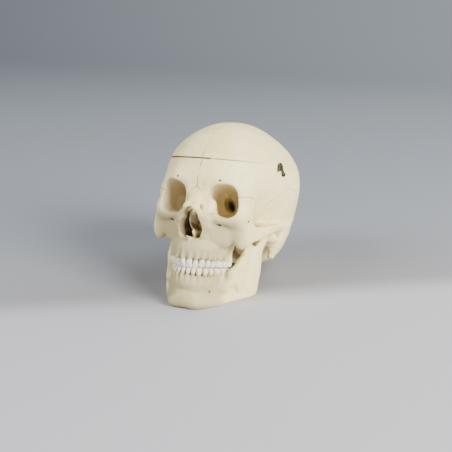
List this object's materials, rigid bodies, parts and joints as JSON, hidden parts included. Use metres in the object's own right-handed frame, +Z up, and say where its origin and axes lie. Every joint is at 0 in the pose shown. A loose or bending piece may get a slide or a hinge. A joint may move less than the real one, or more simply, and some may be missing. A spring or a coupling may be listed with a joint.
{
  "type": "human skull model",
  "caption": "Life-size human skull model with jaw and teeth, its sawn-off cap held by small brass hooks, leant back on jaw and occiput.",
  "frame": {"origin": "On the ground under the middle of the bounding box, with the skull resting on its jaw and the back of its head", "axes": "+X to the skull's own left, -Y the way the face looks, +Z up; the Frankfurt plane of the skull is leant back 21.5 degrees"},
  "size_m": [0.1388, 0.2175, 0.1741],
  "materials": {
    "bone": "matt ivory cast plastic",
    "jaw_bone": "matt ivory cast plastic",
    "teeth": "satin white enamel look",
    "brass": "dulled brass"
  },
  "bodies": {
    "root": {"cranium": "bone", "skull_cap": "bone", "mandible": "jaw_bone", "hook_left": "brass", "hook_right": "brass", "cap_pin_left": "brass", "cap_pin_right": "brass", "side_pin_left": "brass", "side_pin_right": "brass"}
  },
  "joints": []
}
